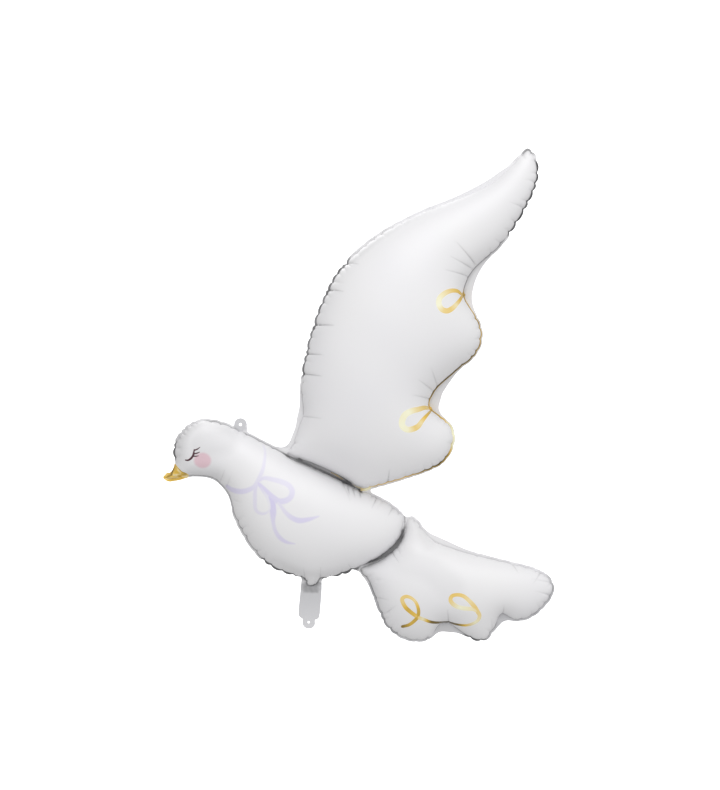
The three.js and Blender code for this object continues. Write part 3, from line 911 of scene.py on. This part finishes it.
def shaped(side):
    """The front (side -1) or back (side 1) sheet in millimetres, and how dark the painted shade along its
    fold lines is.
    """
    base = side * (sheet.half + FILM / 2)
    normal = sheet.normals(base)
    normal = normal * np.sign(normal[:, 1] * side)[:, None]
    push = np.zeros((len(sheet.points), 3))
    dark = np.zeros(len(sheet.points))
    for k, name in enumerate(CELLS):
        mine = sheet.order == k
        spots = sheet.points[mine]
        depth, dark[mine] = read_creases(CRIMPS[name][0 if side < 0 else 1], spots)
        if name == "body":
            depth *= np.where(spots[:, 0] < BEAK_ROOT, 0.45, 1)
        flat = edge_normal(CELLS[name], sheet.place[name][mine])
        in_plane = at_depth(flat, np.zeros(len(flat)))
        rim = ~sheet.member[name][mine]
        narrowing = 0.9 + 2.5 * (1 - sheet.lens[mine])
        narrowing *= sheet.rolled[mine] * np.clip(sheet.own_gap[mine] / FLANGE, 0, 1.2)
        depth += np.where(rim, narrowing, 0)
        push[mine] = -depth[:, None] * np.where(rim[:, None], in_plane, normal[mine])
    shape = at_depth(sheet.points, base) + push
    shape[:, 1] += ruffle() + neck_wrinkles()
    return shape, dark


def soft_swell(side):
    """Slow uneven swelling, as tight foil has, that fades out at the welds."""
    x, z = sheet.points.T
    phase = 0.7 if side < 0 else 2.4
    swell = np.sin(x / 31 + phase) * np.sin(z / 43 + 1.7 * phase) + 0.6 * np.sin((x + z) / 22 + 3 * phase)
    return SWELL * swell * unit(sheet.rim_gap / 25) * sheet.free


def beak_crinkle(side):
    x, z = sheet.points.T
    ridges = np.sin(0.62 * x + 0.35 * z + side) * np.sin(0.5 * z - 0.22 * x + 2 * side)
    inwards = unit(-to_polygon(sheet.points, BEAK) / 4)
    return BEAK_CRINKLE * ridges * inwards * unit(sheet.rim_gap / 2)


def placed(name, data):
    piece = bpy.data.objects.new(name, data)
    bpy.context.scene.collection.objects.link(piece)
    return piece


def boundary(triangles):
    """Edges of the layout that only one triangle has, in the direction that it has them."""
    edges = np.vstack([triangles[:, [0, 1]], triangles[:, [1, 2]], triangles[:, [2, 0]]])
    key = np.sort(edges, axis=1)
    _, first, count = np.unique(key, axis=0, return_index=True, return_counts=True)
    return edges[first[count == 1]]


def closed_mesh(name):
    (front, front_dark), (back, back_dark) = shaped(-1), shaped(1)
    for side, sheet_shape in ((-1, front), (1, back)):
        sheet_shape[:, 1] += side * (soft_swell(side) + beak_crinkle(side))
    n = len(front)
    triangles = sheet.triangles
    faces = triangles.tolist() + (triangles[:, ::-1] + n).tolist()
    faces += [(b, a, a + n, b + n) for a, b in boundary(triangles).tolist()]
    mesh = bpy.data.meshes.new(name)
    mesh.from_pydata(np.vstack([front, back]) / 1000, [], faces)
    mesh.validate()
    mesh.update()
    return mesh, front_dark, back_dark


def seam_shade():
    """The deep seams between the cells: dark strokes with a sharp edge, and a soft shade beside them."""
    out = np.zeros(len(sheet.points))
    for line, widths, darkness in SEAM_SHADOWS:
        edge, dark = to_stroke(sheet.points, line, widths, darkness)
        edge = edge + np.maximum(0, 0.12 * (sheet.half - 6))
        out = np.maximum(out, dark * unit(0.5 - edge / 1.6))
        out = np.maximum(out, 0.07 * widths.max() / 4 * dark * np.exp(-np.maximum(edge, 0) / 6))
    strip, light = to_stroke(sheet.points, *SEAM_STRIP)
    return out * (1 - light * unit(0.5 - strip / 1.2))


# How far the painted shade line along a weld fades over the bulging foil and the flange, in millimetres
INNER_FADE = 3.5
OUTER_FADE = 1.2


def shade(dark):
    """Painted shade on the foil: at the rims of rolled welds, fold lines, deep seams, the neck's wrinkled
    band and in soft patches.
    """
    along_wall = np.hypot(sheet.own_gap, sheet.half)
    inner = np.exp(-along_wall / INNER_FADE)
    # Painted shade: a dark line along the weld's fold
    line = sheet.groove * np.where(sheet.free, inner, np.exp(-sheet.own_gap / OUTER_FADE))
    # Where the weld rolls over, its rim is painted dark: painted shade
    rim = sheet.rolled * np.where(sheet.free, inner, 1)
    x, z = sheet.points.T
    # Painted shade over the wrinkled band at the neck's top
    neck_band_shade = neck_band() * (0.42 + 0.16 * np.sin(1.1 * x) * np.sin(1.3 * z + x))
    crisp = unit(np.max([line, rim, dark * sheet.free, seam_shade(), neck_band_shade], axis=0))
    # Soft painted shade along the strokes
    soft = np.zeros(len(x))
    for line, widths, strength in PAINTED_SOFT_SHADE:
        edge, strong = to_stroke(sheet.points, line, widths, strength)
        reach = min(16, 5 * widths.max())
        soft = np.maximum(soft, strong * unit(0.5 - edge / reach))
    return np.maximum(crisp, soft * sheet.free)


def painted(strokes, gap, tone):
    """Distance to the nearest of some strokes and the tone there, over the print below them."""
    for row in strokes:
        one, its_tone = to_stroke(sheet.points, *row)
        tone = np.where(one < gap, its_tone, tone)
        gap = np.minimum(gap, one)
    return gap, tone


def gold_edge():
    """Distance to the gold line along the wing's edge, and its tone of painted highlight and dark
    reflection.
    """
    loop = CELLS["wing"]
    start, end = nearest(GOLD_EDGE_ENDS, loop)[1]
    total = len(loop) * EDGE_STEP
    after = (sheet.place["wing"] - end) % total
    stretch = (start - end) % total
    gap, member = sheet.gap["wing"], sheet.member
    rise = np.where(member["wing"], 0.5 * sheet.half, gap)
    into = (nearest(pixels([row[:2] for row in EDGE_LINE]), loop)[1] - end) % total
    order = np.argsort(into)
    tones, widths = np.array([row[2:] for row in EDGE_LINE])[order].T
    tone = np.interp(after, into[order], tones) + 0.35 * unit(gap - 0.6) * ~sheet.free - 0.05
    taper = unit(np.minimum(after, np.maximum(stretch - after, 0)) / 12)
    edge = np.hypot(gap, rise) - np.interp(after, into[order], widths) * taper
    edge += np.where(after > stretch, np.minimum(after - stretch, FAR), 0)
    edge[member["body"] | member["tail"]] = FAR
    return edge, tone


def gold_layers():
    """Gold prints on the front and on the back, and their painted tone (0 brown dark reflection, 1 pale
    highlight).
    """
    beak = to_polygon(sheet.points, BEAK)
    beak_tone = np.full(len(beak), BEAK_TONE)
    for row in BEAK_HIGHLIGHTS_AND_SHADE:
        edge, tone = to_stroke(sheet.points, *row)
        beak_tone += (tone - beak_tone) * unit(0.5 - edge / 1.3)
    edge, edge_tone = gold_edge()
    back, back_tone = np.minimum(beak, edge), np.where(beak < edge, beak_tone, edge_tone)
    front, front_tone = painted(LOOPS + SEAM_GOLD, back, back_tone)
    return (front, back), (front_tone, back_tone)


def print_attributes():
    """The printed layers of the foil and its bare film, for front and back, distances in millimetres."""
    p = sheet.points
    gold, tone = gold_layers()
    bow, bow_strength = painted(BOW, np.full(len(p), FAR), np.zeros(len(p)))
    band, band_strength = to_stroke(p, *BOW[0])
    ink = np.min([to_stroke(p, *row)[0] for row in EYE], axis=0)
    blush = np.linalg.norm((p - BLUSH_MIDDLE) * (0.93, 1.05), axis=1) - BLUSH_RADIUS
    flat = np.where(sheet.free, unit(1 - sheet.own_gap / 0.5), 1)
    alone = (p[:, 1] < NECK_TOP) | (np.linalg.norm(p, axis=1) < HANG_TAB_REACH)
    fading = 1 - 0.3 * unit((NECK_TOP - 30 - p[:, 1]) / 45)
    film = flat * np.where(alone, fading, np.clip((sheet.own_gap - 2) / 20, 0.02, 0.1))
    return {
        "gold": gold, "tone": tone, "lilac": (bow, band), "lilac_strength": (bow_strength, band_strength),
        "ink": (ink, ink), "blush": (blush, blush), "film": (film, film),
    }


def foil_balloon():
    mesh, front_dark, back_dark = closed_mesh("foil_balloon")
    layers = print_attributes()
    layers["shade"] = (shade(front_dark), shade(back_dark))
    for name, (front, back) in layers.items():
        values = np.clip(np.concatenate([front, back]), -FAR, FAR).astype(np.float32)
        mesh.attributes.new(name, "FLOAT", "POINT").data.foreach_set("value", values)
    mesh.shade_smooth()
    mesh.set_sharp_from_angle(angle=math.radians(SHARP_ANGLE))
    mesh.materials.append(foil_material())
    return placed("foil_balloon", mesh)


# Materials

class Nodes:
    """A short way to build a node tree. An input is a number, a colour or another node's output."""

    def __init__(self, tree):
        self.tree = tree

    def put(self, value, socket):
        if isinstance(value, bpy.types.NodeSocket):
            self.tree.links.new(value, socket)
        else:
            socket.default_value = value

    def add(self, kind, inputs=(), output=0, **settings):
        node = self.tree.nodes.new("ShaderNode" + kind)
        for key, value in settings.items():
            setattr(node, key, value)
        for socket, value in dict(inputs).items():
            self.put(value, node.inputs[socket])
        return node.outputs[output]

    def math(self, operation, a, b, clamp=False):
        return self.add("Math", {0: a, 1: b}, operation=operation, use_clamp=clamp)

    def mix(self, factor, a, b):
        return self.add("Mix", {0: factor, 6: a, 7: b}, output=2, data_type="RGBA")

    def ramp(self, value, low, high, start, end):
        inputs = {"Value": value, "From Min": low, "From Max": high, "To Min": start, "To Max": end}
        return self.add("MapRange", inputs, interpolation_type="SMOOTHSTEP")

    def value(self, attribute):
        return self.add("Attribute", output="Fac", attribute_name=attribute)

    def mask(self, attribute, soft):
        """1 inside a printed shape, 0 outside it, with an edge as soft as given in millimetres."""
        return self.ramp(self.value(attribute), -soft, soft, 1, 0)

    def noise(self, scale, detail=2.0, rough=0.5):
        place = self.add("TexCoord", output="Object")
        inputs = {"Vector": place, "Scale": scale, "Detail": detail, "Roughness": rough}
        return self.add("TexNoise", inputs, output="Fac")


def new_material(name):
    """A material, its node tree and its shader's inputs."""
    material = bpy.data.materials.new(name)
    material.use_nodes = True
    return material, Nodes(material.node_tree), material.node_tree.nodes["Principled BSDF"].inputs


WHITE = (0.89, 0.885, 0.885, 1)
WHITE_COOL = (0.83, 0.825, 0.865, 1)
FILM_GREY = (0.64, 0.64, 0.66, 1)
GOLD_PAINTED_DARK_REFLECTION = (0.075, 0.052, 0.018, 1)
GOLD = (0.87, 0.57, 0.09, 1)
GOLD_PAINTED_HIGHLIGHT = (1.0, 0.99, 0.74, 1)
LILAC = (0.68, 0.635, 0.89, 1)
INK = (0.08, 0.02, 0.032, 1)
BLUSH = (0.84, 0.53, 0.61, 1)
# Colour of the painted shade
SHADE = (0.15, 0.15, 0.155, 1)

# How soft the edges of the prints are, in millimetres, and how strong their watery colours
GOLD_SOFT = 0.35
INK_SOFT = 0.2
BLUSH_SOFT = 2.6
LILAC_SOFT = 1.7
BLUSH_STRENGTH = 0.74
LILAC_STRENGTH = 0.84

# The foil's pale clouds, its sheen and its grain, and what the gold changes in them
CLOUDS = 0.7
GOLD_OVER_SHADE = 0.75
METALLIC = 0.1
ROUGH = 0.46
ROUGH_SPREAD = 0.08
GOLD_SMOOTHER = 0.25
GRAIN = {"Strength": 0.16, "Distance": 0.0006}


def foil_material():
    material, n, shader = new_material("satin_white_foil")
    gold = n.mask("gold", GOLD_SOFT)
    ink = n.mask("ink", INK_SOFT)
    colour = n.mix(n.math("MULTIPLY", n.noise(7.0), CLOUDS), WHITE, WHITE_COOL)
    colour = n.mix(n.value("film"), colour, FILM_GREY)
    colour = n.mix(n.math("MULTIPLY", n.mask("blush", BLUSH_SOFT), BLUSH_STRENGTH), colour, BLUSH)
    watery = n.math("MULTIPLY", n.mask("lilac", LILAC_SOFT), n.value("lilac_strength"))
    colour = n.mix(n.math("MULTIPLY", watery, LILAC_STRENGTH), colour, LILAC)
    colour = n.mix(ink, colour, INK)
    # The tone paints the gold: a brown dark reflection below 0.5, a pale highlight above it
    tone = n.value("tone")
    gilt = n.mix(n.math("MULTIPLY", tone, 2, clamp=True), GOLD_PAINTED_DARK_REFLECTION, GOLD)
    gilt = n.mix(n.math("SUBTRACT", n.math("MULTIPLY", tone, 2), 1, clamp=True), gilt, GOLD_PAINTED_HIGHLIGHT)
    colour = n.mix(gold, colour, gilt)
    # Painted shade: the shade attribute darkens the colour towards SHADE, less where gold is printed
    bare = n.math("SUBTRACT", 1.0, n.math("MULTIPLY", gold, GOLD_OVER_SHADE))
    n.put(n.mix(n.math("MULTIPLY", n.value("shade"), bare), colour, SHADE), shader["Base Color"])
    metallic = n.math("ADD", n.math("MULTIPLY", gold, METALLIC), METALLIC)
    n.put(n.math("SUBTRACT", metallic, n.math("MULTIPLY", ink, METALLIC), clamp=True), shader["Metallic"])
    rough = n.math("ADD", n.math("MULTIPLY", n.noise(60.0, 3.0), ROUGH_SPREAD), ROUGH)
    n.put(n.math("SUBTRACT", rough, n.math("MULTIPLY", gold, GOLD_SMOOTHER)), shader["Roughness"])
    bump = {**GRAIN, "Height": n.noise(95.0, 4.0, 0.6)}
    n.put(n.add("Bump", bump, output="Normal"), shader["Normal"])
    return material


def stage_material():
    """Matt pale paper that glows softly away from the balloon, so that the backdrop is clean white."""
    material, n, shader = new_material("pale_stage")
    n.put((0.86, 0.86, 0.87, 1), shader["Base Color"])
    n.put(0.9, shader["Roughness"])
    n.put((1, 1, 1, 1), shader["Emission Color"])
    place = n.add("TexCoord", output="Object")
    reach = n.add("VectorMath", {0: place}, output="Value", operation="LENGTH")
    n.put(n.ramp(reach, *GLOW_FROM_TO, 0, 1), shader["Emission Strength"])
    return material


# Studio

FRAME_PIXELS = (720, 790)
CAMERA_DISTANCE = 5.2
FLOOR_GAP = 0.55
STAGE_RADIUS = 9.0
STAGE_BEND = 2.0
STAGE_TOP = 7.0
STAGE_SPOKES = 64
GLOW_FROM_TO = (0.9, 2.6)
LIGHT_FROM = (0.27, -0.74, 0.61)
LIGHT_TURN = 0.45
LIGHT_TARGET = (0.2, 0, 0.05)
LIGHT_BRIGHT = 0.90
LIGHT_DIM = 0.50


def camera():
    data = bpy.data.cameras.new("camera")
    data.sensor_fit = "VERTICAL"
    data.sensor_height = 36
    data.sensor_width = 36 * FRAME_PIXELS[0] / FRAME_PIXELS[1]
    data.lens = 36 * CAMERA_DISTANCE / (FRAME_PIXELS[1] * MM_PER_PIXEL / 1000)
    data.clip_end = 60
    eye = placed("camera", data)
    x, z = pixel(FRAME_PIXELS[0] / 2, FRAME_PIXELS[1] / 2) / 1000
    eye.location = (x, -CAMERA_DISTANCE, z)
    eye.rotation_euler = (math.pi / 2, 0, 0)
    bpy.context.scene.camera = eye


def stage():
    """A round pale floor that bends up into a wall all the way round."""
    floor = CAD_BOX[0][2] - FLOOR_GAP
    profile = [(0.5, floor), (STAGE_RADIUS / 2, floor)]
    for turn in np.linspace(0, math.pi / 2, 9):
        in_by, up = STAGE_BEND * (1 - math.sin(turn)), STAGE_BEND * (1 - math.cos(turn))
        profile.append((STAGE_RADIUS - in_by, floor + up))
    profile.append((STAGE_RADIUS, STAGE_TOP))
    n = STAGE_SPOKES
    turns = [2 * math.pi * k / n for k in range(n)]
    verts = [(0, 0, floor)] + [(r * math.cos(t), r * math.sin(t), z) for r, z in profile for t in turns]
    faces = [(0, 1 + k, 1 + (k + 1) % n) for k in range(n)]
    for low in range(1, 1 + n * (len(profile) - 1), n):
        for k, after in zip(range(n), [*range(1, n), 0]):
            faces.append((low + k, low + n + k, low + n + after, low + after))
    mesh = bpy.data.meshes.new("stage")
    mesh.from_pydata(verts, [], faces)
    mesh.shade_smooth()
    mesh.materials.append(stage_material())
    piece = placed("stage", mesh)
    piece.visible_diffuse = False
    piece.visible_glossy = False


def softbox(name, place, size, watts):
    data = bpy.data.lights.new(name, "AREA")
    data.size = size
    data.energy = watts
    lamp = placed(name, data)
    lamp.location = place
    lamp.rotation_euler = (Vector(LIGHT_TARGET) - Vector(place)).to_track_quat("-Z", "Y").to_euler()


def surroundings():
    """A soft room, bright in front of the balloon and above it, dim behind and below."""
    world = bpy.data.worlds.new("studio")
    world.use_nodes = True
    bpy.context.scene.world = world
    n = Nodes(world.node_tree)
    background = world.node_tree.nodes["Background"].inputs
    n.put((1, 1, 1, 1), background["Color"])
    place = n.add("TexCoord", output="Generated")
    toward = n.add("VectorMath", {0: place, 1: LIGHT_FROM}, output="Value", operation="DOT_PRODUCT")
    n.put(n.ramp(toward, -LIGHT_TURN, LIGHT_TURN, LIGHT_DIM, LIGHT_BRIGHT), background["Strength"])


camera()
stage()
softbox("key", (0.45, -1.7, 2.3), 2.2, 17)
softbox("back", (-0.6, 3.4, 2.2), 2.0, 30)
surroundings()
bpy.context.scene.view_settings.view_transform = "Standard"

balloon = foil_balloon()
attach(balloon, "root")
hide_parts(NODE)
